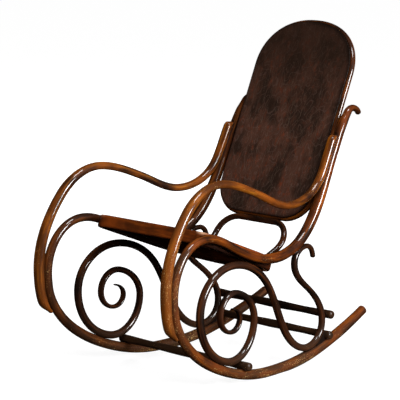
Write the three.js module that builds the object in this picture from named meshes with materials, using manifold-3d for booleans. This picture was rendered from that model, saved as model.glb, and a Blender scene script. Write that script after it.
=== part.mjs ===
// A bentwood rocking chair: steam-bent beech rods, turned cross rails and pressed plywood panels.
// Millimetres. X runs across the chair, the front faces -Y, and the runners rest on Z = 0.
import * as THREE from 'three';
import { mergeVertices, toCreasedNormals } from 'three/addons/utils/BufferGeometryUtils.js';
import Module from 'manifold-3d';

const wasm = await Module();
wasm.setup();
const { Manifold, Mesh: SolidMesh } = wasm;

// Driving dimensions of the whole chair
const sideSpacing = 482.8;   // centre to centre of the two side frames at mid depth
const splay = 3.58;          // degrees that each side frame turns in towards the back
const fitGap = 0.3;          // air between pieces that touch
const rodStep = 75;          // longest stretch of a bent rod between two sections

// Bent rods: sides of a section, the most degrees that a rod turns between two sections,
// and how far its rounded ends reach past the first and the last station
const bends = {
  bow: { sides: 12, maxTurn: 15, ends: [5, 8] },
  arm: { sides: 12, maxTurn: 14, ends: [3, 4] },
  scroll: { sides: 8, maxTurn: 17, ends: [6, 3] },
};
const ringSides = 10;
const roundingAngles = [38, 68, 90];

// Back ring and its panel. Places in the back are given from the middle of the ring's foot
const backFoot = { y: 220, z: 437 };
const backRecline = 24.1;    // degrees from upright
const backHalfWidth = 205;
const backHeight = 668;
const backArch = 170;        // height of the arched top
const archPower = 2.2;       // 2 is an ellipse; more is squarer
const archSteps = 20;
const backCorner = 110;      // radius of the lower corners
const backCornerSteps = 7;
const backRod = 22;
const backRingPlaned = 1.2;  // wood planed off the ring's front
const backPanelInset = 9;
const panelThickness = 5;
const panelBevel = 0.8;

// Seat frame and its panel
const seatFront = { y: -274, z: 486.5 };
const seatSlope = 21.5;      // degrees down towards the back
const seatDepth = 441;
const seatHalfWidth = 245.8; // at the front edge
const seatTaper = 0.0582;    // half width lost for each millimetre of depth
const seatFrontCorner = 27;
const seatFrontSteps = 4;
const seatRearCorner = 190;
const seatRearSteps = 10;
const seatLeastRadius = 8;
const seatRail = { wide: 32, high: 40 };
const seatBevel = 5;
const seatPanelInset = 10;
const seatPanelProud = 0.8;  // the panel lies in a rebate and stands this far above the ring

// Hoop between the seat and the back
const hoopHalfWidth = 140;
const hoopFootWidth = 133;   // half the spread of the legs where they meet the seat
const hoopCorner = 66;
const hoopRod = 19.5;
const hoopEnd = 2;           // how far the legs' rounded ends reach
const legSteps = 6;
const hoopCornerSteps = 6;

// Cross rails: place of the axis, and the length over the rounded ends
const railEndDiameter = 26.6;
const railWaistDiameter = 22;
const railBellyDiameter = 27;
const railEndShape = [[0, 0], [1, 0.6], [3.5, 0.86], [9, 1]]; // way in from the tip, share of radius
const railNeck = { wayIn: 46, share: 0.95 };  // where the end thins towards the waist
const railWaistPlace = 0.52;                  // in half lengths from the middle
const railShoulder = { place: 0.24, share: 0.94 };
const railSides = 12;
const rails = {
  front_rail: { y: -129, z: 58, length: 562 },
  rear_upper_rail: { y: 284, z: 147, length: 508 },
  rear_lower_rail: { y: 281, z: 80.5, length: 504 },
};

// Countersunk screws, with the head and the shank as diameters
const screwHead = { wide: 9, high: 2.6 };
const screwShank = 4.4;
const screwSides = 6;

// Where screws stand: pairs are the place of the head and the place that the screw points to
const seatScrewPlaces = [[-215, 448], [-112, 397.7]]; // on the bow's own line
const ringScrewHeights = [277, 337];                  // up the back ring's straight sides
const hoopScrewSpread = 60;
const seatScrewLength = 42;
const seatScrewShort = 3;    // from its point to the bow's own line
const ringScrewLength = 34;
const ringScrewSunk = 0.6;
const hoopScrewLength = 32;
const hoopScrewSunk = 1;
const screwPoint = 6;        // length of the tapered point
const boreAccess = 12;       // how far a bore runs on above the screw's head
const sideScrewPlaces = {
  arm_upper_screw: { from: [338.4, 670.5], to: [297, 691], length: 42 },
  arm_lower_screw: { from: [-432.3, 261.8], to: [-470, 257], length: 42 },
  scroll_hook_screw: { from: [147.2, 365], to: [133, 393], length: 24 },
  ring_foot_screw: { from: [-246.2, 51.8], to: [-229.5, 93.2], length: 36, sink: 5 },
  scroll_foot_screw: { from: [209.6, 16.6], to: [203.2, 58], length: 40, sink: 5 },
  front_rail_screw: { from: [-131.6, 15.4], to: [-129.2, 58], length: 38, sink: 5 },
  rear_lower_rail_screw: { from: [295.3, 38.6], to: [281.5, 80.5], length: 36, sink: 5 },
  rear_upper_rail_screw: { from: [253.4, 147], to: [284.5, 147], length: 30, sink: 1 },
};

const wedgeBlock = { outline: [[224, 50], [262, 98], [290, 60]], thick: 18 };

const rad = Math.PI / 180;
const creaseAngle = 35;

// A bent rod is drawn in its side plane as stations: the place, the heading in degrees
// anticlockwise from +Y, and the rod's thickness in the plane and width across it.
const at = (y, z, heading, thick, wide = thick) => ({ y, z, heading, thick, wide });

const bowStations = [
  at(483, 126, 204, 30),      // rear tip of the runner
  at(340, 70, 198, 33.2),
  at(200, 31.3, 192, 34),
  at(106, 18, 184.5, 33.6),
  at(40, 15.9, 181, 31.8),    // the lowest stretch, level under the chair's centre of mass
  at(-17, 15.9, 178, 31.8),
  at(-264, 77.5, 155, 31.4),
  at(-440, 240, 112, 29),
  at(-452, 304, 93, 29),      // front of the bow
  at(-319, 474, 3, 26),       // crest beside the seat's front edge
  at(-190, 435.5, -28, 25.4),
  at(-80, 385.5, -19, 26.4),
  at(25, 367.5, -1, 32.4),    // lowest point under the seat's rear corner
  at(103, 380.5, 18, 33, 32),
  at(222, 481, 56, 36, 34.4), // sweep up into the back
  at(317, 661, 62, 31.6, 30.6),
  at(361.5, 741.5, 57, 31, 29),
  at(385, 773, 54, 26.5, 25),
  at(417, 789.6, -10, 19.4, 20), // crown of the hook
  at(445, 773.5, -62, 17.4, 19),
];

const armStations = [
  at(324, 710, 232, 10, 20),  // rounded end on the front of the upright
  at(309, 701, 242, 28.5),
  at(258, 600, 240, 28),
  at(86, 522, 175, 24.4),
  at(-69, 579, 158, 24),
  at(-231, 628, 174, 24.8),   // top of the hand rest
  at(-395, 557, 230, 31.2),
  at(-485.5, 335, 270, 33.6),
  at(-473, 236, 288.5, 31.5),
  at(-441, 196, 314, 12, 18), // the end dies away against the front of the bow
];

const scrollStations = [
  at(214, 345, 95, 13, 17),   // tip of the hook behind the seat
  at(184, 380.6, 175, 14.8, 18.6),
  at(121, 339, 265, 22),
  at(191, 245, 322, 19),
  at(265, 123, 265, 22),
  at(164, 59, 165, 22),       // bend that stands on the runner
  at(66, 143, 120, 24),
  at(-7, 283, 124, 22.8, 23.4),
  at(-184, 375, 180, 23.6, 24.6), // top of the large ring
  at(-332, 243, 269, 25),
  at(-200, 83, 349.5, 24.6),
  at(-77, 190, 446, 22, 23),
  at(-163, 289, 528, 19.4, 23), // second turn, thinned so that it bends
  at(-239, 230, 627, 17.8, 22.6),
  at(-188, 172.5, 715, 13.4, 22),
  at(-146.5, 206, 805, 13.6, 20.6),
  at(-180, 242, 892, 6, 17),
];

// The hoop's legs seen from the side, from its top bar down to the seat's rear face
const hoopStations = [
  at(209.5, 432.3, 221, hoopRod),
  at(141, 361, 207, hoopRod),
  at(92, 337.5, 205, hoopRod),
];

const finishes = {
  chestnut: { color: 0x7a3d16, roughness: 0.32, metalness: 0 },
  umber: { color: 0x4a2412, roughness: 0.38, metalness: 0 },
  espresso: { color: 0x2c1a14, roughness: 0.55, metalness: 0 },
  steel: { color: 0x6f675c, roughness: 0.5, metalness: 0.9 },
};

// Frames of the parts that are drawn in a plane of their own

function frameAt(x, y, z, turnX, turnZ) {
  const turn = new THREE.Quaternion().setFromEuler(new THREE.Euler(turnX * rad, 0, turnZ * rad));
  return new THREE.Matrix4().compose(new THREE.Vector3(x, y, z), turn, new THREE.Vector3(1, 1, 1));
}

const leftSide = frameAt(sideSpacing / 2, 0, 0, 0, splay);
const seat = frameAt(0, seatFront.y, seatFront.z, -seatSlope, 0);
const back = frameAt(0, backFoot.y, backFoot.z, 90 - backRecline, 0);

// Solids

function solidOf(geometry) {
  const bare = geometry.clone();
  bare.deleteAttribute('normal');
  bare.deleteAttribute('uv');
  const merged = mergeVertices(bare, 1e-3);
  return new Manifold(new SolidMesh({
    numProp: 3,
    vertProperties: merged.attributes.position.array,
    triVerts: Uint32Array.from(merged.index.array),
  }));
}

function geometryOf(solid) {
  const mesh = solid.getMesh();
  const geometry = new THREE.BufferGeometry();
  geometry.setAttribute('position', new THREE.BufferAttribute(mesh.vertProperties, 3));
  geometry.setIndex(new THREE.BufferAttribute(mesh.triVerts, 1));
  return toCreasedNormals(geometry, creaseAngle * rad);
}

const placed = (solid, frame) => solid.transform(Array.from(frame.elements));
const mirrored = (solid) => solid.mirror([1, 0, 0]);
const onBothSides = (solids) => solids.flatMap((solid) => [solid, mirrored(solid)]);

// Cuts a piece by its neighbours and keeps its main body, without the slivers
function cut(solid, cutters) {
  const rest = cutters.reduce((left, cutter) => left.subtract(cutter), solid);
  return rest.decompose().reduce((a, b) => (a.volume() >= b.volume() ? a : b));
}

// Bent rods

// Cubic curves through the stations, with handles as long as those of an arc of the same turn
function sidePath(stations) {
  const place = (s, reach = 0) => new THREE.Vector3(
    0, s.y + reach * Math.cos(s.heading * rad), s.z + reach * Math.sin(s.heading * rad));
  return stations.slice(1).map((end, i) => {
    const start = stations[i];
    const turn = Math.max(Math.abs(end.heading - start.heading) * rad, 0.05);
    const chord = Math.hypot(end.y - start.y, end.z - start.z);
    const reach = chord * 2 * Math.tan(turn / 4) / (3 * Math.sin(turn / 2));
    return new THREE.CubicBezierCurve3(
      place(start), place(start, reach), place(end, -reach), place(end));
  });
}

// How much a curve turns in all, in degrees
function turning(curve, samples = 16) {
  let sum = 0;
  let last = curve.getTangent(0);
  for (let i = 1; i <= samples; i++) {
    const next = curve.getTangent(i / samples);
    sum += last.angleTo(next);
    last = next;
  }
  return sum / rad;
}

// Sections along a rod: closer together where it bends
function rodSections(stations, clearance, maxTurn) {
  const sections = [];
  sidePath(stations).forEach((curve, i) => {
    const steps = Math.ceil(Math.max(turning(curve) / maxTurn, curve.getLength() / rodStep));
    const first = i === 0 ? 0 : 1;
    for (let k = first; k <= steps; k++) {
      const t = k / steps;
      const blend = THREE.MathUtils.smoothstep(t, 0, 1);
      sections.push({
        point: curve.getPoint(t),
        tangent: curve.getTangent(t),
        thick: THREE.MathUtils.lerp(stations[i].thick, stations[i + 1].thick, blend) + clearance,
        wide: THREE.MathUtils.lerp(stations[i].wide, stations[i + 1].wide, blend) + clearance,
      });
    }
  });
  return sections;
}

// The rounded end of a rod: two smaller sections and a pole, going outward from its last section
function roundedEnd(section, reach) {
  const depth = Math.abs(reach);
  return roundingAngles.map((angle) => ({
    ...section,
    point: section.point.clone().addScaledVector(
      section.tangent, Math.sign(reach) * depth * Math.sin(angle * rad)),
    thick: section.thick * Math.cos(angle * rad),
    wide: section.wide * Math.cos(angle * rad),
  }));
}

// Skins elliptical sections. "across" is the direction in which their width is measured.
// An open rod starts and ends in a pole; a closed one runs back into its first section
function skin(sections, sides, across, closed = false) {
  const positions = [];
  const index = [];
  const rings = closed ? sections : sections.slice(1, -1);
  for (const s of rings) {
    const side = across.clone().addScaledVector(s.tangent, -across.dot(s.tangent)).normalize();
    const normal = new THREE.Vector3().crossVectors(s.tangent, side);
    for (let k = 0; k < sides; k++) {
      const angle = (k + 0.5) * 2 * Math.PI / sides;
      const p = s.point.clone()
        .addScaledVector(side, 0.5 * s.wide * Math.cos(angle))
        .addScaledVector(normal, 0.5 * s.thick * Math.sin(angle));
      positions.push(p.x, p.y, p.z);
    }
  }
  const bands = closed ? rings.length : rings.length - 1;
  for (let i = 0; i < bands; i++) {
    const a = i * sides;
    const b = ((i + 1) % rings.length) * sides;
    for (let k = 0; k < sides; k++) {
      const n = (k + 1) % sides;
      index.push(a + k, a + n, b + n, a + k, b + n, b + k);
    }
  }
  if (!closed) {
    const last = (rings.length - 1) * sides;
    const startPole = positions.length / 3;
    const endPole = startPole + 1;
    positions.push(...sections[0].point.toArray(), ...sections.at(-1).point.toArray());
    for (let k = 0; k < sides; k++) {
      const n = (k + 1) % sides;
      index.push(startPole, n, k, endPole, last + k, last + n);
    }
  }
  const geometry = new THREE.BufferGeometry();
  geometry.setAttribute('position', new THREE.Float32BufferAttribute(positions, 3));
  geometry.setIndex(index);
  return geometry;
}

const withEnds = (body, startReach, endReach) => [
  ...roundedEnd(body[0], -startReach).reverse(), ...body, ...roundedEnd(body.at(-1), endReach)];

function bentRod(stations, { clearance = 0, sides, maxTurn, ends }) {
  const body = rodSections(stations, clearance, maxTurn);
  const acrossX = new THREE.Vector3(1, 0, 0);
  return placed(solidOf(skin(withEnds(body, ...ends), sides, acrossX)), leftSide);
}

const bow = (clearance = 0) => bentRod(bowStations, { clearance, ...bends.bow });
const arm = () => bentRod(armStations, bends.arm);
const scroll = (clearance = 0) => bentRod(scrollStations, { clearance, ...bends.scroll });

// Turned cross rail: belly in the middle, a waist on each side of it, rounded ends
function crossRail({ y, z, length }, clearance = 0) {
  const half = length / 2;
  const end = railEndDiameter / 2;
  const belly = railBellyDiameter / 2;
  const profile = [
    ...railEndShape.map(([wayIn, share]) => [half - wayIn, share * end]),
    [half - railNeck.wayIn, railNeck.share * end],
    [half * railWaistPlace, railWaistDiameter / 2],
    [half * railShoulder.place, railShoulder.share * belly],
    [0, belly],
  ];
  const whole = [
    ...profile.map(([x, r]) => [-x, r]),
    ...profile.slice(0, -1).reverse(),
  ];
  const points = whole.map(([x, r]) => new THREE.Vector2(r === 0 ? 0 : r + clearance / 2, x));
  const lathe = new THREE.LatheGeometry(points, railSides);
  lathe.rotateZ(Math.PI / 2);
  lathe.translate(0, y, z);
  return solidOf(lathe);
}

// Slabs

function slab(outline, from, to, bevel = 0) {
  const geometry = new THREE.ExtrudeGeometry(new THREE.Shape(outline), {
    depth: to - from - 2 * bevel,
    bevelEnabled: bevel > 0,
    bevelThickness: bevel,
    bevelSize: bevel,
    bevelOffset: -bevel,
    bevelSegments: 1,
  });
  geometry.translate(0, 0, from + bevel);
  return solidOf(geometry);
}

// Points of an arc about a centre, from one angle in degrees to another
function arc(x, y, radius, from, to, steps) {
  return Array.from({ length: steps + 1 }, (_, i) => {
    const angle = (from + (to - from) * i / steps) * rad;
    return [x + radius * Math.cos(angle), y + radius * Math.sin(angle)];
  });
}

const toVectors = (points) => points.map(([x, y]) => new THREE.Vector2(x, y));

// Back

// A superellipse arch over straight sides and rounded lower corners, drawn in by "inset"
function backOutline(inset) {
  const half = backHalfWidth - inset;
  const corner = backCorner - inset;
  const spring = backHeight - backArch;
  const waist = (inset + corner + spring) / 2;
  const arch = Array.from({ length: archSteps + 1 }, (_, i) => {
    const angle = i / archSteps * Math.PI;
    const reach = Math.sign(Math.cos(angle)) * Math.abs(Math.cos(angle)) ** (2 / archPower);
    return [half * reach, spring + (backArch - inset) * Math.sin(angle) ** (2 / archPower)];
  });
  return toVectors([
    ...arc(half - corner, inset + corner, corner, -90, 0, backCornerSteps),
    [half, waist],
    ...arch,
    [-half, waist],
    ...arc(corner - half, inset + corner, corner, 180, 270, backCornerSteps),
  ]);
}

function backRing(clearance = 0) {
  const outline = backOutline(backRod / 2);
  const sections = outline.map((p, i) => {
    const before = outline.at(i - 1);
    const after = outline[(i + 1) % outline.length];
    return {
      point: new THREE.Vector3(p.x, p.y, 0),
      tangent: new THREE.Vector3(after.x - before.x, after.y - before.y, 0).normalize(),
      thick: backRod + clearance,
      wide: backRod + clearance,
    };
  });
  return placed(solidOf(skin(sections, ringSides, new THREE.Vector3(0, 0, 1), true)), back);
}

// The ring's front is planed flat to take the panel
const backPanelFoot = backRod / 2 - backRingPlaned;
const backPanel = () => placed(
  slab(backOutline(backPanelInset), backPanelFoot, backPanelFoot + panelThickness, panelBevel), back);
const backPanelSpace = () => placed(
  slab(backOutline(backPanelInset - fitGap), backPanelFoot - fitGap, backRod), back);

// Seat

// Horseshoe, widest in front and with a deep rounded back, drawn in by "inset"
function seatOutline(inset) {
  const half = (y) => seatHalfWidth - seatTaper * y - inset;
  const frontRadius = Math.max(seatFrontCorner - inset, seatLeastRadius);
  const rearRadius = seatRearCorner - inset;
  const frontY = inset + frontRadius;
  const rearY = seatDepth - inset - rearRadius;
  const frontX = half(frontY) - frontRadius;
  const rearX = half(rearY) - rearRadius;
  return toVectors([
    ...arc(frontX, frontY, frontRadius, -90, 0, seatFrontSteps),
    ...arc(rearX, rearY, rearRadius, 0, 90, seatRearSteps),
    ...arc(-rearX, rearY, rearRadius, 90, 180, seatRearSteps),
    ...arc(-frontX, frontY, frontRadius, 180, 270, seatFrontSteps),
  ]);
}

function seatRing() {
  const outer = slab(seatOutline(0), -seatRail.high, 0, seatBevel);
  const opening = slab(seatOutline(seatRail.wide), -2 * seatRail.high, seatRail.high);
  const rebate = slab(
    seatOutline(seatPanelInset - fitGap), seatPanelProud - panelThickness - fitGap, seatRail.high);
  return placed(outer.subtract(opening).subtract(rebate), seat);
}

const seatSpaces = () => [
  slab(seatOutline(-fitGap), -seatRail.high - fitGap, fitGap),
  slab(seatOutline(seatPanelInset - fitGap), -seatRail.high, seatPanelProud + fitGap),
].map((solid) => placed(solid, seat));

const seatPanel = () => placed(
  slab(seatOutline(seatPanelInset), seatPanelProud - panelThickness, seatPanelProud, panelBevel), seat);

// Hoop: two legs that follow one side path, joined by a bar with rounded corners

function hoop() {
  const [upper, lower] = sidePath(hoopStations);
  const upperLength = upper.getLength();
  const lowerLength = lower.getLength();
  const legLength = upperLength + lowerLength;
  const downLeg = (way) => (way <= upperLength
    ? upper.getPointAt(way / upperLength)
    : lower.getPointAt(Math.min((way - upperLength) / lowerLength, 1)));
  const leg = Array.from({ length: legSteps }, (_, i) => {
    const t = i / legSteps;
    return [
      THREE.MathUtils.lerp(hoopFootWidth, hoopHalfWidth, t),
      THREE.MathUtils.lerp(legLength, hoopCorner, t),
    ];
  });
  const corner = arc(hoopHalfWidth - hoopCorner, hoopCorner, hoopCorner, 0, -90, hoopCornerSteps);
  const half = [...leg, ...corner];
  const route = [...half, ...half.toReversed().map(([x, way]) => [-x, way])];
  const points = route.map(([x, way]) => downLeg(Math.max(way, 0)).setX(x));
  const body = points.map((point, i) => {
    const before = points[Math.max(i - 1, 0)];
    const after = points[Math.min(i + 1, points.length - 1)];
    return {
      point, tangent: after.clone().sub(before).normalize(), thick: hoopRod, wide: hoopRod,
    };
  });
  const across = new THREE.Vector3(0, -1, 1).normalize();
  return solidOf(skin(withEnds(body, hoopEnd, hoopEnd), ringSides, across));
}

// The wedge that fills the crotch between the lower rear rail, the scroll and the runner
function wedge() {
  const { outline, thick } = wedgeBlock;
  const geometry = new THREE.ExtrudeGeometry(
    new THREE.Shape(toVectors(outline)), { depth: thick, bevelEnabled: false });
  geometry.rotateX(Math.PI / 2);
  geometry.rotateZ(Math.PI / 2);
  geometry.translate(-thick / 2, 0, 0);
  return placed(solidOf(geometry), leftSide);
}

// Screws

// The head's flat top is at the origin, and the screw points along -Y
function screwSolid(length, clearance) {
  const head = screwHead.wide / 2 + clearance;
  const shank = screwShank / 2 + clearance;
  const access = clearance > 0 ? boreAccess : 0;
  const top = access > 0 ? [[0, access], [head, access]] : [[0, 0]];
  const points = [
    ...top, [head, 0], [shank, -screwHead.high - clearance], [shank, screwPoint - length],
    [0, -length - clearance],
  ];
  const profile = points.reverse().map(([r, y]) => new THREE.Vector2(r, y));
  return solidOf(new THREE.LatheGeometry(profile, screwSides));
}

// A screw and its bore, in the chair's frame, from two places in one of the part frames
function screw(from, to, length, frame, sink = 0) {
  const heading = to.clone().sub(from).normalize();
  const turn = new THREE.Quaternion().setFromUnitVectors(new THREE.Vector3(0, -1, 0), heading);
  const stand = new THREE.Matrix4().compose(
    from.clone().addScaledVector(heading, sink), turn, new THREE.Vector3(1, 1, 1));
  const matrix = frame.clone().multiply(stand);
  return {
    solid: placed(screwSolid(length, 0), matrix),
    bore: placed(screwSolid(length, fitGap), matrix),
  };
}

const screws = {};
for (const [name, { from, to, length, sink }] of Object.entries(sideScrewPlaces)) {
  const start = new THREE.Vector3(0, ...from);
  const end = new THREE.Vector3(0, ...to);
  screws[name] = screw(start, end, length, leftSide, sink);
}
seatScrewPlaces.forEach(([y, z], i) => {
  const end = new THREE.Vector3(0, y, z);
  const start = end.clone().setX(-seatScrewLength - seatScrewShort);
  screws[`seat_screw_${i + 1}`] = screw(start, end, seatScrewLength, leftSide);
});
ringScrewHeights.forEach((height, i) => {
  const start = new THREE.Vector3(backHalfWidth - backRod + ringScrewSunk, height, 0);
  screws[`ring_screw_${i + 1}`] = screw(start, start.clone().setX(backHalfWidth), ringScrewLength, back);
});

// The hoop's screws run down from the back ring's foot into the hoop's bar
const ringFoot = new THREE.Vector3(0, backRod / 2, 0).applyMatrix4(back);
const hoopBar = new THREE.Vector3(0, hoopStations[0].y, hoopStations[0].z);
const hoopDirection = hoopBar.clone().sub(ringFoot).normalize();
const hoopScrewHead = ringFoot.clone().addScaledVector(hoopDirection, hoopScrewSunk - backRod / 2);
screws.hoop_screw = screw(
  hoopScrewHead.setX(hoopScrewSpread), hoopBar.setX(hoopScrewSpread), hoopScrewLength,
  new THREE.Matrix4());

// Assembly: each piece is planed or notched where it meets one that was fitted before it

const clear = 2 * fitGap;
const bores = onBothSides(Object.values(screws).map(({ bore }) => bore));
const bowSpaces = onBothSides([bow(clear)]);
const rodSpaces = [...bowSpaces, ...onBothSides([scroll(clear)])];
const lowerRailSpace = crossRail(rails.rear_lower_rail, clear);

const sidePieces = {
  bow: [cut(bow(), bores), 'chestnut'],
  arm: [cut(arm(), [...bowSpaces, ...bores]), 'chestnut'],
  scroll: [cut(scroll(), [...bowSpaces, ...bores]), 'umber'],
  rail_wedge: [cut(wedge(), [...rodSpaces, lowerRailSpace, ...bores]), 'umber'],
};
for (const [name, { solid }] of Object.entries(screws)) sidePieces[name] = [solid, 'steel'];

const middlePieces = {
  seat_ring: [cut(seatRing(), [...rodSpaces, ...bores]), 'chestnut'],
  seat_panel: [cut(seatPanel(), bowSpaces), 'espresso'],
  back_ring: [cut(backRing(), [backPanelSpace(), ...bowSpaces, ...bores]), 'chestnut'],
  back_panel: [backPanel(), 'espresso'],
  lower_hoop: [cut(hoop(), [backRing(clear), ...seatSpaces(), ...bores]), 'umber'],
};
for (const [name, size] of Object.entries(rails)) {
  middlePieces[name] = [cut(crossRail(size), [...rodSpaces, ...bores]), 'umber'];
}

const chair = new THREE.Group();

function add(name, solid, wood) {
  const mesh = new THREE.Mesh(geometryOf(solid), new THREE.MeshStandardMaterial(finishes[wood]));
  mesh.name = name;
  chair.add(mesh);
}

for (const [name, [solid, finish]] of Object.entries(sidePieces)) {
  add(`left_${name}`, solid, finish);
  add(`right_${name}`, mirrored(solid), finish);
}
for (const [name, [solid, finish]] of Object.entries(middlePieces)) add(name, solid, finish);

// The frame's origin is the middle of the box's underside, with the lowest stretch on the floor
const box = new THREE.Box3().setFromObject(chair);
chair.position.set(0, -(box.min.y + box.max.y) / 2, -box.min.z);

export default chair;
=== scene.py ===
import math

import bpy
import numpy as np
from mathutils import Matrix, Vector


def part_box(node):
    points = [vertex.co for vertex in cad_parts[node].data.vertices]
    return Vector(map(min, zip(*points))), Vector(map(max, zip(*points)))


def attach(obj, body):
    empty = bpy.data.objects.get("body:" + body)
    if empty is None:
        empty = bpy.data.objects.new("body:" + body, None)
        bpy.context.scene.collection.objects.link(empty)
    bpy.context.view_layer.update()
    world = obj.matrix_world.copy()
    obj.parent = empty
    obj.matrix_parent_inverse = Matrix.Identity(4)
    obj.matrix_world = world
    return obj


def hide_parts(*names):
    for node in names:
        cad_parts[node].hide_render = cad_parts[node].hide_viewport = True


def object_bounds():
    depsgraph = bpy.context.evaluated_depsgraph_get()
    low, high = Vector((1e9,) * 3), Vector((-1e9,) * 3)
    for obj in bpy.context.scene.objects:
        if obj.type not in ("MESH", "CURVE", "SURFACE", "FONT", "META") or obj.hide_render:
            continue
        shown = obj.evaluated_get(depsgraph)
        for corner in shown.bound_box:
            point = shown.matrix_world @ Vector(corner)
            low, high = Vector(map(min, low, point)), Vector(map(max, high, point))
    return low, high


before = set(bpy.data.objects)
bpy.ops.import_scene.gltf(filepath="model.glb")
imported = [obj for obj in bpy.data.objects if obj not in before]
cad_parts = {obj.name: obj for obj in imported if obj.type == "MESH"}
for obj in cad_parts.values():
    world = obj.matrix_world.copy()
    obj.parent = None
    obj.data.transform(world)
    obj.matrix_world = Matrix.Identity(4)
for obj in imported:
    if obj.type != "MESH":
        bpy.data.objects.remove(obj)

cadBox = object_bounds()
mm = 0.001
print("frame loaded:", len(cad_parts), "nodes")


# Shader maths: a signal wraps a socket, and sums and products of signals add Math nodes

class Signal:
    def __init__(self, paint, socket):
        self.paint = paint
        self.socket = socket

    def maths(self, operation, first, second=0.0):
        return self.paint.node("Math", {"operation": operation}, {0: first, 1: second})

    def sine(self):
        return self.maths("SINE", self)

    def __add__(self, other):
        return self.maths("ADD", self, other)

    def __radd__(self, other):
        return self.maths("ADD", other, self)

    def __sub__(self, other):
        return self.maths("SUBTRACT", self, other)

    def __rsub__(self, other):
        return self.maths("SUBTRACT", other, self)

    def __mul__(self, other):
        return self.maths("MULTIPLY", self, other)

    def __rmul__(self, other):
        return self.maths("MULTIPLY", other, self)

    def ramp(self, low, high, start=0.0, end=1.0):
        # smooth step from start at low to end at high
        return self.paint.node("MapRange", {"interpolation_type": "SMOOTHSTEP"}, {
            "Value": self, "From Min": low, "From Max": high, "To Min": start, "To Max": end})


# A paint is one material: its shader, and methods that add nodes and link what they are given

class Paint:
    def __init__(self, name):
        self.material = bpy.data.materials.new(name)
        self.material.use_nodes = True
        self.tree = self.material.node_tree
        self.shader = self.tree.nodes["Principled BSDF"]

    def connect(self, socket, value):
        if isinstance(value, Signal):
            self.tree.links.new(value.socket, socket)
        else:
            socket.default_value = value

    def node(self, kind, settings, inputs, output=0):
        made = self.tree.nodes.new("ShaderNode" + kind)
        for key, value in settings.items():
            setattr(made, key, value)
        for key, value in inputs.items():
            self.connect(made.inputs[key], value)
        return Signal(self, made.outputs[output])

    def set(self, **inputs):
        for key, value in inputs.items():
            self.connect(self.shader.inputs[key.replace("_", " ")], value)

    def attribute(self, name, output):
        return self.node("Attribute", {"attribute_name": name}, {}, output)

    def noise(self, place, waves, detail, roughness, seed):
        # waves per metre on each axis; the seed moves to another stretch of the noise
        scaled = self.node("VectorMath", {"operation": "MULTIPLY"}, {0: place, 1: waves})
        shift = (seed, seed * 1.7, -seed)
        moved = self.node("VectorMath", {"operation": "ADD"}, {0: scaled, 1: shift})
        return self.node("TexNoise", {}, {
            "Vector": moved, "Scale": 1.0, "Detail": detail, "Roughness": roughness})

    def noises(self, place, rows, seed):
        return [self.noise(place, waves, detail, roughness, seed + shift)
                for waves, detail, roughness, shift in rows.values()]

    def mix(self, factor, first, second):
        # sockets 6 and 7 are the two colours, and output 2 is their mix
        return self.node("Mix", {"data_type": "RGBA"}, {0: factor, 6: first, 7: second}, 2)

    def bump(self, height, distance, strength):
        return self.node("Bump", {}, {"Height": height, "Distance": distance, "Strength": strength})


def tone(red, green, blue):
    # a colour given as it looks on a screen, 0 to 255
    def linear(value):
        value /= 255
        return value / 12.92 if value <= 0.04045 else ((value + 0.055) / 1.055) ** 2.4
    return (linear(red), linear(green), linear(blue), 1.0)


# Varnished beech: the grain runs along the rod, the stain is uneven, and joints carry grime and painted
# shade

# waves per metre along and across the grain, detail, roughness, shift from the piece's seed
beechNoises = {
    "fibre": ((7, 330, 330), 5.0, 0.6, 0),
    "pores": ((60, 1900, 1900), 2.0, 0.5, 3),
    "patches": ((8, 16, 16), 3.0, 0.55, 7),
    "streaks": ((7, 80, 80), 3.0, 0.55, 9),
    "chips": ((240, 400, 400), 4.0, 0.7, 11),
    "chipZone": ((12, 40, 40), 2.0, 0.5, 13),
}


def varnishedBeech(name, look, seed):
    paint = Paint(name)
    grain = paint.attribute("grain", "Vector")
    shade = paint.attribute("shadeAndGrime", "Fac")
    wearAndSheen = paint.attribute("wearAndSheen", "Fac")
    fibre, pores, patches, streaks, chips, chipZone = paint.noises(grain, beechNoises, seed)

    rubbed = (patches * 0.7 + streaks * 0.3 + wearAndSheen * 0.05).ramp(0.38, 0.64)
    stain = paint.mix(rubbed, tone(*look["dark"]), tone(*look["warm"]))
    honey = (fibre * 0.4 + streaks * 0.6).ramp(0.48, 0.76)
    stain = paint.mix(honey * look["honey"], stain, tone(*look["light"]))
    stain = paint.mix(pores.ramp(0.58, 0.75) * 0.5, stain, tone(*look["dark"]))
    # dust on worn places, and a pale painted highlight on the seat's front corners
    stain = paint.mix(wearAndSheen * patches.ramp(0.3, 0.6, 0.95, 0.5), stain, tone(*look["dustAndSheen"]))
    worn = (chips + chipZone * 0.4 + wearAndSheen * 0.1).ramp(look["chipsFrom"], look["chipsFrom"] + 0.05)
    stain = paint.mix(worn * 0.75, stain, tone(*look["bare"]))
    # grime with painted shade where parts meet, and painted shade on the seat ring's side and underside
    # and at the rod tips
    stain = paint.mix(shade * 0.9, stain, tone(*look["grimeAndShade"]))

    dull = patches.ramp(0.3, 0.7, look["rough"] - 0.05, look["rough"] + 0.08)
    paint.set(
        Base_Color=stain,
        Roughness=dull + worn * 0.3 + shade * 0.25,
        Coat_Weight=look["coat"] - (worn + wearAndSheen * 0.4) * look["coat"] * 0.6,
        Coat_Roughness=look["coatRough"],
        Specular_IOR_Level=look["gloss"],
        Normal=paint.bump(fibre * 0.03 - worn * 0.5, 0.0002, 0.2),
    )
    return paint.material


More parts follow.
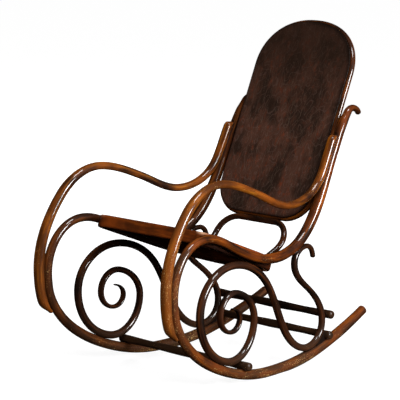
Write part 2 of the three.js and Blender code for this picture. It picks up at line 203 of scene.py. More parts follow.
chestnut = {
    "dark": (38, 19, 9), "warm": (114, 52, 11), "light": (180, 96, 16), "bare": (212, 168, 106),
    "dustAndSheen": (66, 45, 30), "grimeAndShade": (8, 5, 4), "honey": 0.7, "rough": 0.5, "coat": 0.95,
    "coatRough": 0.04, "gloss": 0.1,
    "chipsFrom": 0.9,  # a higher one leaves fewer chips
}
armWood = {**chestnut, "dark": (36, 18, 9), "warm": (126, 64, 15), "light": (206, 128, 26),
           "dustAndSheen": (118, 63, 22)}
# the far bow's copy of chestnut is darker: painted shade
shadedFarBowWood = {**chestnut, "warm": (84, 40, 12), "light": (146, 80, 18)}
umber = {**chestnut, "dark": (20, 12, 8), "warm": (54, 27, 12), "light": (118, 60, 20),
         "chipsFrom": 0.97}
espresso = {**chestnut, "dark": (18, 12, 9), "warm": (50, 30, 17), "light": (98, 60, 30),
            "chipsFrom": 0.97, "coat": 0.5, "coatRough": 0.2}
ringWood = {**chestnut, "dark": (34, 17, 9), "warm": (88, 42, 13), "light": (166, 92, 20)}
# on the seat ring the dust-and-sheen colour is a pale painted highlight on the front corners
seatWood = {**chestnut, "dark": (80, 37, 14), "warm": (142, 64, 18), "light": (180, 94, 26),
            "dustAndSheen": (240, 196, 158), "chipsFrom": 0.97}


# Pressed plywood: nearly black stain over reddish wood, faint curls, fine scratches, specks of dust,
# with painted shade higher up and along the rim

plyNoises = {
    "clouds": ((9, 13, 13), 5.0, 0.65, 0),
    "embers": ((30, 60, 60), 5.0, 0.7, 5),
    "fibre": ((26, 420, 420), 4.0, 0.6, 2),
    "dimples": ((150, 190, 190), 3.0, 0.6, 6),
    "scratches": ((30, 1100, 1100), 1.0, 0.4, 9),
    "dust": ((420, 520, 520), 2.0, 0.6, 4),
    "waves": ((17, 24, 24), 1.0, 0.4, 12),
}


def pressedPly(name, look, seed):
    paint = Paint(name)
    grain = paint.attribute("grain", "Vector")
    shade = paint.attribute("shadeAndGrime", "Fac")
    upward = paint.node("SeparateXYZ", {}, {"Vector": grain}, "X")
    clouds, embers, fibre, dimples, scratches, dust, waves = paint.noises(grain, plyNoises, seed)
    curls = (waves * look["curls"]).sine().ramp(0.86, 1.0)
    stain = paint.mix(clouds.ramp(0.38, 0.62), tone(*look["dark"]), tone(*look["warm"]))
    redness = embers.ramp(0.52, 0.70) * clouds.ramp(0.42, 0.58)
    stain = paint.mix(redness * 0.65, stain, tone(*look["ember"]))
    stain = paint.mix(fibre.ramp(0.5, 0.8) * 0.3, stain, tone(*look["light"]))
    marks = scratches.ramp(0.66, 0.72) * 0.25 + dust.ramp(0.7, 0.76) * 0.5
    stain = paint.mix(marks, stain, tone(*look["mark"]))
    stain = paint.mix(curls * 0.3, stain, tone(*look["light"]))
    # painted shade: the panel darkens towards its top
    stain = paint.mix(upward.ramp(*look["darkFromTo"]) * 0.75, stain, tone(*look["upperShade"]))
    # painted shadow along the panel's rim, and painted shade where it meets the bows
    stain = paint.mix(shade * 0.85, stain, tone(*look["rim"]))
    paint.set(
        Base_Color=stain,
        Roughness=clouds.ramp(0.3, 0.7, 0.42, 0.56),
        Coat_Weight=look["coat"],
        Coat_Roughness=look["coatRough"],
        Specular_IOR_Level=look["gloss"],
        Normal=paint.bump(fibre * 0.6 + dimples * 1.4 + clouds * 2.0 - curls * 0.5, 0.0008, 0.6),
    )
    return paint.material


plyLook = {
    "dark": (44, 30, 23), "warm": (78, 50, 39), "light": (106, 82, 74), "ember": (116, 48, 20),
    "mark": (168, 146, 126), "upperShade": (38, 25, 18), "rim": (12, 9, 8),
    "coat": 0.05, "coatRough": 0.18, "gloss": 0.08,
    "darkFromTo": (0.28, 0.63),  # metres up the panel
    "curls": 46.0,               # more packs them closer
}


steelLook = {"bright": (92, 84, 72), "dull": (60, 48, 38), "spots": (900, 900, 900)}


def agedSteel(name, look):
    paint = Paint(name)
    place = paint.node("TexCoord", {}, {}, "Object")
    spots = paint.noise(place, look["spots"], 3.0, 0.5, 0.0)
    paint.set(
        Base_Color=paint.mix(spots.ramp(0.4, 0.6), tone(*look["bright"]), tone(*look["dull"])),
        Metallic=0.9,
        Roughness=spots.ramp(0.3, 0.7, 0.35, 0.6),
    )
    return paint.material


# Frames of the parts. The front rail's axis ties the drawing's zero to the frame

layout = {"sideSpacing": 482.8, "splay": 3.58, "frontRail": (-129, 58), "gap": 0.3}
railLow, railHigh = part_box("front_rail")
origin = (railLow + railHigh) / 2 - Vector((0, *layout["frontRail"])) * mm


def turned(points, degrees, axis):
    angle = math.radians(degrees)
    cosine, sine = math.cos(angle), math.sin(angle)
    result = np.array(points, float)
    a, b = {"x": (1, 2), "z": (0, 1)}[axis]
    result[:, a] = points[:, a] * cosine - points[:, b] * sine
    result[:, b] = points[:, a] * sine + points[:, b] * cosine
    return result


def intoSide(points, hand, offset=True):
    placed = turned(points, layout["splay"], "z")
    if offset:
        placed[:, 0] += layout["sideSpacing"] / 2
    placed[:, 0] *= hand
    return placed


def unit(vectors):
    return vectors / np.linalg.norm(vectors, axis=1, keepdims=True)


# A rod is a row of sections: centre, tangent, thickness and width, all in millimetres

class Rod:
    def __init__(self, centre, tangent, thick, wide, across=(1, 0, 0), closed=False):
        self.centre = np.array(centre, float)
        self.tangent = unit(np.array(tangent, float))
        self.thick = np.array(thick, float)
        self.wide = np.array(wide, float)
        self.closed = closed
        across = np.broadcast_to(np.array(across, float), self.centre.shape)
        lean = (across * self.tangent).sum(1, keepdims=True)
        self.side = unit(across - lean * self.tangent)
        self.normal = np.cross(self.tangent, self.side)
        steps = np.linalg.norm(np.diff(self.centre, axis=0), axis=1)
        self.along = np.concatenate([[0], np.cumsum(steps)])


def sidePath(stations, spacing=5.0, turnStep=5.0, leastTurn=0.05, slack=1.1):
    # cubic curves with handles as long as those of an arc of the same turn. The least turn, in
    # radians, serves straight stretches, and the slack allows for a curve being longer than its chord
    rows = []
    for i, (start, end) in enumerate(zip(stations, stations[1:])):
        turn = max(abs(math.radians(end[2] - start[2])), leastTurn)
        chord = math.dist(start[:2], end[:2])
        reach = chord * 2 * math.tan(turn / 4) / (3 * math.sin(turn / 2))
        headings = [np.array([math.cos(math.radians(s[2])), math.sin(math.radians(s[2]))])
                    for s in (start, end)]
        a, d = np.array(start[:2], float), np.array(end[:2], float)
        b, c = a + reach * headings[0], d - reach * headings[1]
        steps = math.ceil(max(chord * slack / spacing, math.degrees(turn) / turnStep))
        for k in range(0 if i == 0 else 1, steps + 1):
            t = k / steps
            u = 1 - t
            place = u ** 3 * a + 3 * u * u * t * b + 3 * u * t * t * c + t ** 3 * d
            heading = u * u * (b - a) + 2 * u * t * (c - b) + t * t * (d - c)
            blend = t * t * (3 - 2 * t)
            thick = start[3] + (end[3] - start[3]) * blend
            wide = start[-1] + (end[-1] - start[-1]) * blend
            rows.append((0, *place, 0, *heading, thick, wide))
    return np.array(rows)


def withEnds(rows, startReach, endReach, steps=7):
    # rounds both ends with smaller and smaller sections
    def cap(row, reach):
        made = []
        for k in range(1, steps + 1):
            angle = k / steps * math.pi / 2
            extra = row.copy()
            extra[0:3] += unit(row[None, 3:6])[0] * reach * math.sin(angle)
            extra[6:8] *= max(math.cos(angle), 1e-3)
            made.append(extra)
        return made
    return np.array([*reversed(cap(rows[0], -startReach)), *rows, *cap(rows[-1], endReach)])


def sideRod(piece, hand):
    rows = withEnds(sidePath(piece["stations"]), *piece["ends"])
    return Rod(intoSide(rows[:, 0:3], hand), intoSide(rows[:, 3:6], hand, False), rows[:, 6], rows[:, 7])


# Moves the vertices that stand in a rod's space out of it, square to the rod, and also returns
# how far each vertex is from the nearest rod

def clearOf(points, rods, chunk=3000, endReach=12):
    gap = layout["gap"]
    moved = np.array(points, float)
    near = np.full(len(points), np.inf)
    for rod in rods:
        for part in np.array_split(np.arange(len(points)), len(points) // chunk + 1):
            p = moved[part]
            nearest = np.argmin(
                (p * p).sum(1)[:, None] - 2 * p @ rod.centre.T + (rod.centre ** 2).sum(1)[None], axis=1)
            away = p - rod.centre[nearest]
            u = (away * rod.side[nearest]).sum(1)
            v = (away * rod.normal[nearest]).sum(1)
            t = (away * rod.tangent[nearest]).sum(1)
            halfWide = rod.wide[nearest] / 2 + gap
            halfThick = rod.thick[nearest] / 2 + gap
            depth = np.sqrt((u / halfWide) ** 2 + (v / halfThick) ** 2)
            distance = (depth - 1) * (halfWide + halfThick) / 2
            beyond = np.abs(t) > endReach
            near[part] = np.minimum(near[part], np.where(beyond, np.abs(t), np.maximum(distance, 0)))
            inside = (depth < 1) & (depth > 1e-6) & ~beyond
            scale = np.where(inside, 1 / np.maximum(depth, 1e-6) - 1, 0)
            moved[part] += (rod.side[nearest] * (u * scale)[:, None]
                            + rod.normal[nearest] * (v * scale)[:, None])
    return moved, near


# Shoes rub the runners, and hands and knees rub the arms, more on the left. The seat's front corners get
# a pale painted highlight through the same mask, fainter on the right. A pair is where the wear starts
# and where it is full

wearAndSheenPlaces = {
    "runnerHeight": (150, 20), "armFront": (-330, -440), "armOutside": (240, 260), "armShare": 0.8,
    "handHeight": 625, "handReach": (60, 0), "handFront": (-60, -180), "handShare": 0.4,
    # the corner entries place the painted highlight on the seat's front corners
    "corner": (214, 270, 486), "sheenStretch": (1.0, 1.0, 2.2), "sheenReach": (24, 9),
    "rightShare": 0.4,
}


def fade(value, pair):
    start, full = pair
    return np.clip((value - start) / (full - start), 0, 1)


def wearAndSheenAt(points):
    x, y, z = points.T
    place = wearAndSheenPlaces
    runner = fade(z, place["runnerHeight"])
    armFront = fade(y, place["armFront"]) * fade(np.abs(x), place["armOutside"]) * place["armShare"]
    fromHand = np.abs(z - place["handHeight"])
    handRest = fade(fromHand, place["handReach"]) * fade(y, place["handFront"]) * place["handShare"]
    fromSheen = np.linalg.norm((np.abs(points) - place["corner"]) * place["sheenStretch"], axis=1)
    touchAndSheen = np.maximum(np.maximum(armFront, handRest), fade(fromSheen, place["sheenReach"]))
    return np.maximum(runner, touchAndSheen * np.where(x > 0, 1.0, place["rightShare"]))


# how far the grime and painted shade of a joint reach
shadeReach = 9.0  # millimetres of a joint's dark edge


# painted shade: the rod is darkened towards its tip
def darkTip(points, near, tip, reach=50):
    return np.minimum(near, np.linalg.norm(points - tip, axis=1) / reach * shadeReach)


def makePiece(name, points, faces, grain, finish, nodes, near):
    mesh = bpy.data.meshes.new(name)
    # a round rod is a little wider than its facets in the CAD, so it is held inside the CAD's box
    placed = np.clip(np.array(points) * mm + np.array(origin), cadBox[0], cadBox[1])
    mesh.from_pydata([tuple(p) for p in placed], [], faces)
    mesh.attributes.new("grain", "FLOAT_VECTOR", "POINT").data.foreach_set(
        "vector", (np.array(grain) * mm).astype(np.float32).ravel())
    # near is how far each vertex is from a joint, or stands for how dark it is: grime with painted shade
    # at joints, and painted shade elsewhere
    dark = np.clip(1 - near / shadeReach, 0, 1) ** 2
    mesh.attributes.new("shadeAndGrime", "FLOAT", "POINT").data.foreach_set("value", dark.astype(np.float32))
    mesh.attributes.new("wearAndSheen", "FLOAT", "POINT").data.foreach_set(
        "value", wearAndSheenAt(np.array(points)).astype(np.float32))
    mesh.shade_smooth()
    mesh.materials.append(finish)
    piece = bpy.data.objects.new(name, mesh)
    bpy.context.scene.collection.objects.link(piece)
    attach(piece, "root")
    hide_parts(*nodes)


def ringFaces(rings, sides, closed):
    # the faces between rings of points, and from the last ring to the first one if closed
    faces = []
    for i in range(rings if closed else rings - 1):
        a, b = i * sides, (i + 1) % rings * sides
        for k in range(sides):
            after = (k + 1) % sides
            faces.append((a + k, a + after, b + after, b + k))
    return faces


def sweepRod(rod, sides):
    angles = (np.arange(sides) + 0.5) * 2 * math.pi / sides
    rings = slice(None) if rod.closed else slice(1, -1)
    u = np.cos(angles)[None] * rod.wide[rings, None] / 2
    v = np.sin(angles)[None] * rod.thick[rings, None] / 2
    points = (rod.centre[rings, None] + u[..., None] * rod.side[rings, None]
              + v[..., None] * rod.normal[rings, None])
    along = np.broadcast_to(rod.along[rings, None], u.shape)
    grain = np.stack([along, u, v], -1).reshape(-1, 3)
    count = points.shape[0]
    points = points.reshape(-1, 3)
    faces = ringFaces(count, sides, rod.closed)
    if not rod.closed:
        last = (count - 1) * sides
        start, end = len(points), len(points) + 1
        points = np.vstack([points, rod.centre[0], rod.centre[-1]])
        grain = np.vstack([grain, (rod.along[0], 0, 0), (rod.along[-1], 0, 0)])
        steps = [(k, (k + 1) % sides) for k in range(sides)]
        faces += [(start, after, k) for k, after in steps]
        faces += [(end, last + k, last + after) for k, after in steps]
    return points, faces, grain


# The two side frames. A station is y, z, heading in degrees, thickness and, where it differs, width

bow = {
    "stations": [
        (483, 126, 204, 30), (340, 70, 198, 33.2), (200, 31.3, 192, 34), (106, 18, 184.5, 33.6),
        (40, 15.9, 181, 31.8), (-17, 15.9, 178, 31.8), (-264, 77.5, 155, 31.4),
        (-440, 240, 112, 29), (-452, 304, 93, 29), (-319, 474, 3, 26), (-190, 435.5, -28, 25.4),
        (-80, 385.5, -19, 26.4), (25, 367.5, -1, 32.4), (103, 380.5, 18, 33, 32),
        (222, 481, 56, 36, 34.4), (317, 661, 62, 31.6, 30.6), (361.5, 741.5, 57, 31, 29),
        (385, 773, 54, 26.5, 25), (417, 789.6, -10, 20.4, 21), (445, 773.5, -62, 18.6, 20),
    ],
    "ends": (5, 8), "sides": 32,
}
arm = {
    "stations": [
        (324, 710, 232, 10, 20), (309, 701, 242, 28.5), (258, 600, 240, 28), (86, 522, 175, 24.4),
        (-69, 579, 158, 24), (-231, 628, 174, 24.8), (-395, 557, 230, 31.2),
        (-485.5, 335, 270, 33.6), (-473, 236, 288.5, 31.5), (-441, 196, 314, 12, 18),
    ],
    "ends": (3, 4), "sides": 32,
}
scroll = {
    "stations": [
        (214, 345, 95, 14.5, 18.5), (184, 380.6, 175, 16, 19.6), (121, 339, 265, 22),
        (191, 245, 322, 19), (265, 123, 265, 22), (164, 59, 165, 22), (66, 143, 120, 24),
        (-7, 283, 124, 22.8, 23.4), (-184, 375, 180, 23.6, 24.6), (-332, 243, 269, 25),
        (-200, 83, 349.5, 24.6), (-77, 190, 446, 22, 23), (-163, 289, 528, 19.4, 23),
        (-239, 230, 627, 17.8, 22.6), (-188, 172.5, 715, 13.4, 22), (-146.5, 206, 805, 13.6, 20.6),
        (-180, 242, 892, 6, 17),
    ],
    "ends": (6, 3), "sides": 28,
}

hands = {
    1: {"name": "left", "bowLook": chestnut, "bowSeed": 10.0, "armSeed": 12.0, "scrollSeed": 14.0},
    -1: {"name": "right", "bowLook": shadedFarBowWood, "bowSeed": 40.0, "armSeed": 42.0, "scrollSeed": 44.0},
}

bows = {hand: sideRod(bow, hand) for hand in hands}
arms = {hand: sideRod(arm, hand) for hand in hands}
scrolls = {hand: sideRod(scroll, hand) for hand in hands}
allRods = [*bows.values(), *scrolls.values()]


# Turned cross rails: belly in the middle, a waist on each side, rounded ends

rails = {
    "frontRail": {"node": "front_rail", "y": -129, "z": 58, "length": 562},
    "rearUpperRail": {"node": "rear_upper_rail", "y": 284, "z": 147, "length": 508},
    "rearLowerRail": {"node": "rear_lower_rail", "y": 281, "z": 80.5, "length": 504},
}
railShape = {
    "end": 26.6, "waist": 22, "belly": 27, "waistAt": 0.52, "round": 9, "power": 2.6, "tip": 0.02,
    "sides": 28, "plainSteps": 60, "roundSteps": 10, "seed": 70.0,
}


def railRod(rail):
    half = rail["length"] / 2
    shoulder = half - railShape["round"]
    waistAt = railShape["waistAt"] * half

    def diameter(x):
        if x > shoulder:
            t = (x - shoulder) / railShape["round"]
            return railShape["end"] * max(1 - t ** railShape["power"], 0) ** (1 / railShape["power"])
        if x > waistAt:
            low, high, t = railShape["waist"], railShape["end"], (x - waistAt) / (shoulder - waistAt)
        else:
            low, high, t = railShape["belly"], railShape["waist"], x / waistAt
        return low + (high - low) * t * t * (3 - 2 * t)

    plain = np.linspace(0, shoulder, railShape["plainSteps"])
    turn = np.linspace(0, math.pi / 2, railShape["roundSteps"] + 1)[1:]
    rounded = shoulder + railShape["round"] * np.sin(turn)
    right = np.concatenate([plain, rounded])
    places = np.concatenate([-right[:0:-1], right])
    sizes = [max(diameter(abs(x)), railShape["tip"]) for x in places]
    centre = [(x, rail["y"], rail["z"]) for x in places]
    return Rod(centre, [(1, 0, 0)] * len(places), sizes, sizes, across=(0, 0, 1))


for index, (name, rail) in enumerate(rails.items()):
    points, faces, grain = sweepRod(railRod(rail), railShape["sides"])
    points, near = clearOf(points, allRods)
    makePiece(name, points, faces, grain,
              varnishedBeech(name + "Varnish", espresso, railShape["seed"] + index),
              [rail["node"]], near)
print("rails turned")


# Back ring and pressed panel, drawn in the back's own plane: x across, y up the back, z forward

backShape = {
    "foot": (220, 437), "recline": 24.1, "halfWidth": 205, "height": 668, "arch": 170, "power": 2.2,
    "corner": 110, "rod": 22, "planed": 1.2, "panelInset": 9, "panelThick": 5, "panelRound": 1.2,
    "sides": 48, "archSteps": 120, "sideSteps": 65, "cornerSteps": 24, "footSteps": 29,
    "panelRims": [4, 8, 14, 20, 30, 40, 60, 80, 98], "ringSeed": 90.0, "panelSeed": 5.0,
    "planedFrom": 8,  # how far inside the ring's outer edge
    "rimShadow": {"left": 2.2, "right": 1.0},  # painted shadow, wider along the panel's left rim
}


def intoBack(points, offset=True):
    placed = turned(np.array(points, float), 90 - backShape["recline"], "x")
    if offset:
        placed += (0, *backShape["foot"])
    return placed


def arcPoints(x, y, radius, start, end, steps):
    angles = np.radians(np.linspace(start, end, steps + 1))
    return [(x + radius * math.cos(a), y + radius * math.sin(a)) for a in angles]


def backOutline(inset):
    half = backShape["halfWidth"] - inset
    corner = backShape["corner"] - inset
    spring = backShape["height"] - backShape["arch"]
    top = backShape["arch"] - inset
    rise = np.linspace(inset + corner, spring, backShape["sideSteps"] + 1)[1:-1]
    foot = np.linspace(corner - half, half - corner, backShape["footSteps"] + 1)[1:-1]
    angles = np.linspace(0, math.pi, backShape["archSteps"] + 1)
    reach = np.sign(np.cos(angles)) * np.abs(np.cos(angles)) ** (2 / backShape["power"])
    lift = np.abs(np.sin(angles)) ** (2 / backShape["power"])
    return np.array([
        *arcPoints(half - corner, inset + corner, corner, -90, 0, backShape["cornerSteps"]),
        *[(half, y) for y in rise],
        *zip(half * reach, spring + top * lift),
        *[(-half, y) for y in rise[::-1]],
        *arcPoints(corner - half, inset + corner, corner, 180, 270, backShape["cornerSteps"]),
        *[(x, inset) for x in foot],
    ])


panelFoot = backShape["rod"] / 2 - backShape["planed"]
outline = backOutline(backShape["rod"] / 2)
flat = np.insert(outline, 2, 0, axis=1)
headings = np.roll(flat, -1, axis=0) - np.roll(flat, 1, axis=0)
size = np.full(len(flat), float(backShape["rod"]))
ringRod = Rod(flat, headings, size, size, across=(0, 0, 1), closed=True)
points, faces, grain = sweepRod(ringRod, backShape["sides"])
# the rod is planed only where the panel lies on it
inward = backShape["rod"] / 2 - grain[:, 2]
planed = inward > backShape["planedFrom"]
points[planed, 2] = np.minimum(points[planed, 2], panelFoot - layout["gap"])
points, near = clearOf(intoBack(points), list(bows.values()))
makePiece("backRing", points, faces, grain,
          varnishedBeech("backRingVarnish", ringWood, backShape["ringSeed"]),
          ["back_ring"], near)

# the same rod in its place, for its neighbours
backRod = Rod(intoBack(flat), intoBack(headings, False), size, size,
              across=intoBack([(0, 0, 1)], False)[0])


def loft(loops, closed=False):
    # joins loops that have the same number of points, into a closed tube or a slab with two flat ends
    points = np.vstack(loops)
    count = len(loops[0])
    faces = ringFaces(len(loops), count, closed)
    if not closed:
        faces += [tuple(reversed(range(count))), tuple(range(len(points) - count, len(points)))]
    return points, faces


def roundedEdge(inset, low, high, radius, steps=4):
    # rows of inset and height for a slab whose upper and lower edges are rounded
    angles = np.linspace(0, math.pi / 2, steps + 1)
    lower = [(inset + radius * (1 - math.sin(a)), low + radius * (1 - math.cos(a))) for a in angles]
    upper = [(inset + radius * (1 - math.cos(a)), high - radius * (1 - math.sin(a))) for a in angles]
    return [*lower, *upper]


def loopsAt(outlineAt, rows):
    # one loop for each row: how far inside the outline it lies, and how high
    return [np.insert(outlineAt(inset), 2, z, axis=1) for inset, z in rows]


def panelLoops(outlineAt, shape, low):
    inset, high = shape["panelInset"], low + shape["panelThick"]
    rows = [(inset + rim, low) for rim in reversed(shape["panelRims"])]
    rows += roundedEdge(inset, low, high, shape["panelRound"])
    rows += [(inset + rim, high) for rim in shape["panelRims"]]
    loops = loopsAt(outlineAt, rows)
    return loops, np.repeat([depth - inset for depth, z in rows], len(loops[0]))


loops, fromRim = panelLoops(backOutline, backShape, panelFoot)
points, faces = loft(loops)
grain = points[:, [1, 0, 2]]
rimShadow = backShape["rimShadow"]
# painted shadow along the back panel's rim, wider on the left, with painted shade by the bows
rimReach = np.where(points[:, 0] > 0, rimShadow["left"], rimShadow["right"])
near = np.minimum(fromRim / rimReach, clearOf(intoBack(points), list(bows.values()))[1])
makePiece("backPanel", intoBack(points), faces, grain,
          pressedPly("backPanelStain", plyLook, backShape["panelSeed"]),
          ["back_panel"], near)
print("back built")

for hand, own in hands.items():
    side = own["name"]
    points, faces, grain = sweepRod(bows[hand], bow["sides"])
    near = clearOf(points, [arms[hand], scrolls[hand], backRod])[1]
    near = darkTip(points, near, bows[hand].centre[-1])
    makePiece(f"{side}Bow", points, faces, grain,
              varnishedBeech(f"{side}BowVarnish", own["bowLook"], own["bowSeed"]),
              [f"{side}_bow"], near)
    points, faces, grain = sweepRod(arms[hand], arm["sides"])
    points, near = clearOf(points, [bows[hand]])
    makePiece(f"{side}Arm", points, faces, grain,
              varnishedBeech(f"{side}ArmVarnish", armWood, own["armSeed"]),
              [f"{side}_arm"], near)
    points, faces, grain = sweepRod(scrolls[hand], scroll["sides"])
    points, near = clearOf(points, [bows[hand]])
    near = darkTip(points, near, scrolls[hand].centre[0])
    makePiece(f"{side}Scroll", points, faces, grain,
              varnishedBeech(f"{side}ScrollVarnish", umber, own["scrollSeed"]),
              [f"{side}_scroll"], near)
print("side frames bent")


# Seat frame and panel, drawn in the seat's own plane: x across, y back along it, z up

seatShape = {
    "front": (-274, 486.5), "slope": 21.5, "depth": 441, "halfWidth": 245.8, "taper": 0.0582,
    "frontCorner": 44, "rearCorner": 190, "leastRadius": 8, "wide": 32, "high": 40, "round": 6,
    "panelInset": 10, "panelProud": 0.8, "panelThick": 5, "panelRound": 1.0, "bevel": 0.4, "chamfer": 1,
    "panelRims": [4, 8, 14, 25, 60, 100], "edgeSteps": 39, "frontSteps": 59, "wallSteps": 11,
    "frontCornerSteps": 12, "rearCornerSteps": 50, "ringSeed": 120.0, "panelSeed": 25.0,
    # painted shade: the side is darkened nearly to black beside the bow, and so is the underside: where
    # each shade starts and where it is full, from the bow or down from the top
    "shadeFromBow": (75, 15), "shadeDown": (5, 15), "shadeUnder": (35, 39), "underShare": 0.9,
}


def intoSeat(points):
    placed = turned(np.array(points, float), -seatShape["slope"], "x")
    return placed + np.array([0, *seatShape["front"]])


def seatOutline(inset):
    def half(y):
        return seatShape["halfWidth"] - seatShape["taper"] * y - inset
    front = max(seatShape["frontCorner"] - inset, seatShape["leastRadius"])
    rear = seatShape["rearCorner"] - inset
    frontY = inset + front
    rearY = seatShape["depth"] - inset - rear
    frontX = half(frontY) - front
    rearX = half(rearY) - rear
    edge = [(half(y), y) for y in np.linspace(frontY, rearY, seatShape["edgeSteps"] + 1)[1:-1]]
    frontEdge = np.linspace(-frontX, frontX, seatShape["frontSteps"] + 1)[1:-1]
    frontSteps, rearSteps = seatShape["frontCornerSteps"], seatShape["rearCornerSteps"]
    return np.array([
        *arcPoints(frontX, frontY, front, -90, 0, frontSteps),
        *edge,
        *arcPoints(rearX, rearY, rear, 0, 90, rearSteps),
        *arcPoints(-rearX, rearY, rear, 90, 180, rearSteps),
        *[(-x, y) for x, y in reversed(edge)],
        *arcPoints(-frontX, frontY, front, 180, 270, frontSteps),
        *[(x, inset) for x in frontEdge],
    ])


def seatRows():
    # once round the rail's section: outer side, top, rebate for the panel, inner side, underside
    high, wide, turn = seatShape["high"], seatShape["wide"], seatShape["round"]
    bevel, chamfer = seatShape["bevel"], seatShape["chamfer"]
    ledge = seatShape["panelProud"] - seatShape["panelThick"] - layout["gap"]
    rebate = seatShape["panelInset"] - layout["gap"]
    edge = roundedEdge(0, -high, 0, turn)
    half = len(edge) // 2
    wall = [(0, z) for z in np.linspace(turn - high, -turn, seatShape["wallSteps"] + 1)[1:-1]]
    return [
        *edge[:half], *wall, *edge[half:],
        (rebate - bevel, 0), (rebate, -bevel), (rebate, ledge), (wide - chamfer, ledge),
        (wide, ledge - chamfer), (wide, -high / 2), (wide, chamfer - high), (wide - chamfer, -high),
        (wide / 2, -high),
    ]


rows = seatRows()
outline = seatOutline(0)
points, faces = loft(loopsAt(seatOutline, rows), closed=True)
along = np.concatenate([[0], np.cumsum(np.linalg.norm(np.diff(outline, axis=0), axis=1))])
across = np.repeat([inset for inset, z in rows], len(outline))
grain = np.column_stack([np.tile(along, len(rows)), across, points[:, 2]])
depth = -points[:, 2]
points, near = clearOf(intoSeat(points), allRods)
# painted shade on the seat ring's side beside the bow and on its underside
sideShade = fade(near, seatShape["shadeFromBow"]) * fade(depth, seatShape["shadeDown"])
underShade = fade(depth, seatShape["shadeUnder"]) * seatShape["underShare"]
near = shadeReach * (1 - np.sqrt(np.maximum(sideShade, underShade)))
makePiece("seatRing", points, faces, grain,
          varnishedBeech("seatRingVarnish", seatWood, seatShape["ringSeed"]),
          ["seat_ring"], near)

# the seat panel takes painted shade along its rim
loops, fromRim = panelLoops(seatOutline, seatShape, seatShape["panelProud"] - seatShape["panelThick"])
points, faces = loft(loops)
makePiece("seatPanel", intoSeat(points), faces, points[:, [1, 0, 2]],
          pressedPly("seatPanelStain", plyLook, seatShape["panelSeed"]),
          ["seat_panel"], fromRim)
print("seat built")


# Hoop: two legs that follow one side path, joined by a bar with rounded corners

hoop = {
    "stations": [(209.5, 432.3, 221), (141, 361, 207), (92, 337.5, 205)],  # y, z, heading
    "halfWidth": 140, "footWidth": 133, "corner": 66, "rod": 19.5, "sides": 24, "spacing": 2.0,
    "legSteps": 29, "cornerSteps": 20, "barSteps": 15, "ends": (2, 2), "seed": 150.0,
}


def hoopRod():
    path = sidePath([(*station, hoop["rod"]) for station in hoop["stations"]], hoop["spacing"])
    steps = np.linalg.norm(np.diff(path[:, 1:3], axis=0), axis=1)
    way = np.concatenate([[0], np.cumsum(steps)])
    length = way[-1]
    corner = hoop["corner"]
    # half of it: across, and how far along the legs' path from the bar
    t = np.linspace(0, 1, hoop["legSteps"] + 1)[:-1]
    leg = np.column_stack([hoop["footWidth"] + (hoop["halfWidth"] - hoop["footWidth"]) * t,
                           length + (corner - length) * t])
    bend = np.array(arcPoints(hoop["halfWidth"] - corner, corner, corner, 0, -90, hoop["cornerSteps"]))
    barPlaces = np.linspace(hoop["halfWidth"] - corner, 0, hoop["barSteps"] + 1)[1:]
    bar = np.column_stack([barPlaces, np.zeros(len(barPlaces))])
    half = np.vstack([leg, bend, bar])
    route = np.vstack([half, (half * (-1, 1))[-2::-1]])
    centre = np.column_stack([
        route[:, 0], np.interp(route[:, 1], way, path[:, 1]), np.interp(route[:, 1], way, path[:, 2])])
    heading = np.gradient(centre, axis=0)
    rows = np.column_stack([centre, heading, np.full((len(centre), 2), hoop["rod"])])
    rows = withEnds(rows, *hoop["ends"])
    return Rod(rows[:, 0:3], rows[:, 3:6], rows[:, 6], rows[:, 7], across=(0, -1, 1))


points, faces, grain = sweepRod(hoopRod(), hoop["sides"])
points, near = clearOf(points, [backRod])
makePiece("lowerHoop", points, faces, grain,
          varnishedBeech("hoopVarnish", umber, hoop["seed"]), ["lower_hoop"], near)
print("hoop bent")


# Nodes that keep their own shape

wedge = {"look": espresso, "seed": 200.0}


def dress(node, finish):
    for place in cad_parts[node].material_slots:
        place.material = finish


screwSteel = agedSteel("screwSteel", steelLook)
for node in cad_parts:
    if node.endswith("_screw") or "_screw_" in node:
        dress(node, screwSteel)
    if node.endswith("_rail_wedge"):
        dress(node, varnishedBeech(node + "Stain", wedge["look"], wedge["seed"]))
print("screws and wedges dressed")


# Studio

camera = {
    "place": (4.6810, -4.9617, 1.7233), "tilt": 80.0, "heading": 43.657, "lens": 200.4, "sensor": 36,
    "reach": 100,
}
lens = bpy.data.cameras.new("camera")
lens.lens = camera["lens"]
lens.sensor_width = camera["sensor"]
lens.clip_end = camera["reach"]
view = bpy.data.objects.new("camera", lens)
view.location = camera["place"]
view.rotation_euler = (math.radians(camera["tilt"]), 0, math.radians(camera["heading"]))
bpy.context.scene.collection.objects.link(view)
bpy.context.scene.camera = view

# Metres and greys. The floor's glow is a little darker under the chair, a painted shadow, and the wall,
# far away, is seen only from low down

room = {
    "floorSize": 60.0, "floorColour": 0.3, "shadowUnderChair": 0.84, "pale": 0.97, "paleFrom": (0.1, 1.5),
    "wallRadius": 29.0, "wallFoot": -0.1, "wallTop": 14.0, "wallSides": 64,
}
matt = {"Roughness": 0.9, "Specular_IOR_Level": 0.0, "Emission_Strength": 1.0}


def grey(value):
    return (value, value, value, 1)


def backdrop(name, corners, faces, paint):
    mesh = bpy.data.meshes.new(name)
    mesh.from_pydata(corners, [], faces)
    mesh.materials.append(paint.material)
    made = bpy.data.objects.new(name, mesh)
    made.visible_glossy = made.visible_diffuse = False
    bpy.context.scene.collection.objects.link(made)
    return made


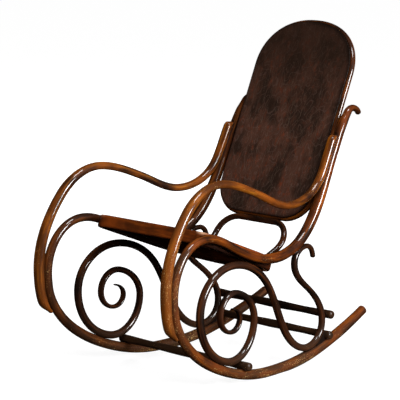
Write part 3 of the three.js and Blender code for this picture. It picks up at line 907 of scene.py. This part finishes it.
floorPaint = Paint("floorPaint")
ground = floorPaint.node("TexCoord", {}, {}, "Object")
away = floorPaint.node("VectorMath", {"operation": "LENGTH"}, {0: ground}, "Value")
glow = floorPaint.mix(away.ramp(*room["paleFrom"]), grey(room["shadowUnderChair"]), grey(room["pale"]))
floorPaint.set(Base_Color=grey(room["floorColour"]), Emission_Color=glow, **matt)
half = room["floorSize"] / 2
floor = backdrop("floor", [(-half, -half, 0), (half, -half, 0), (half, half, 0), (-half, half, 0)],
                 [(0, 1, 2, 3)], floorPaint)

wallPaint = Paint("wallPaint")
wallPaint.set(Base_Color=grey(0), Emission_Color=grey(room["pale"]), **matt)
circle = [(room["wallRadius"] * math.cos(a), room["wallRadius"] * math.sin(a))
          for a in np.linspace(0, 2 * math.pi, room["wallSides"], endpoint=False)]
wall = backdrop("wall", [(x, y, z) for z in (room["wallFoot"], room["wallTop"]) for x, y in circle],
                ringFaces(2, room["wallSides"], False), wallPaint)
wall.visible_shadow = False


# Softboxes stand round the chair: azimuth from +X, elevation, distance, width, height, power,
# and whether the varnish mirrors them

softboxes = {
    "side": (10, 12.5, 4.6, 1.2, 1.4, 215, True),
    "overhead": (5, 62, 4.2, 1.2, 1.2, 80, True),
    "key": (-32, 28, 4.6, 2.0, 2.0, 100, False),
    "front": (-68, 30, 4.6, 1.0, 1.0, 40, False),
    "left": (-168, 22, 4.8, 1.4, 1.4, 12, False),
    "back": (140, 16, 5.0, 1.6, 1.6, 140, False),
}
chairMiddle = Vector((0, 0, 0.5))
worldGlow = 0.055

for name, (azimuth, elevation, distance, width, height, power, mirrored) in softboxes.items():
    light = bpy.data.lights.new(name, "AREA")
    light.shape = "RECTANGLE"
    light.size, light.size_y = width, height
    light.energy = power
    lamp = bpy.data.objects.new(name, light)
    lamp.visible_glossy = mirrored
    a, e = math.radians(azimuth), math.radians(elevation)
    outward = Vector((math.cos(e) * math.cos(a), math.cos(e) * math.sin(a), math.sin(e)))
    lamp.location = chairMiddle + outward * distance
    lamp.rotation_euler = outward.to_track_quat("Z", "Y").to_euler()
    bpy.context.scene.collection.objects.link(lamp)

world = bpy.data.worlds.new("studio")
world.use_nodes = True
world.node_tree.nodes["Background"].inputs["Color"].default_value = grey(1)
world.node_tree.nodes["Background"].inputs["Strength"].default_value = worldGlow
world.cycles_visibility.glossy = False
bpy.context.scene.world = world
bpy.context.scene.view_settings.view_transform = "Standard"

print("scene ready")
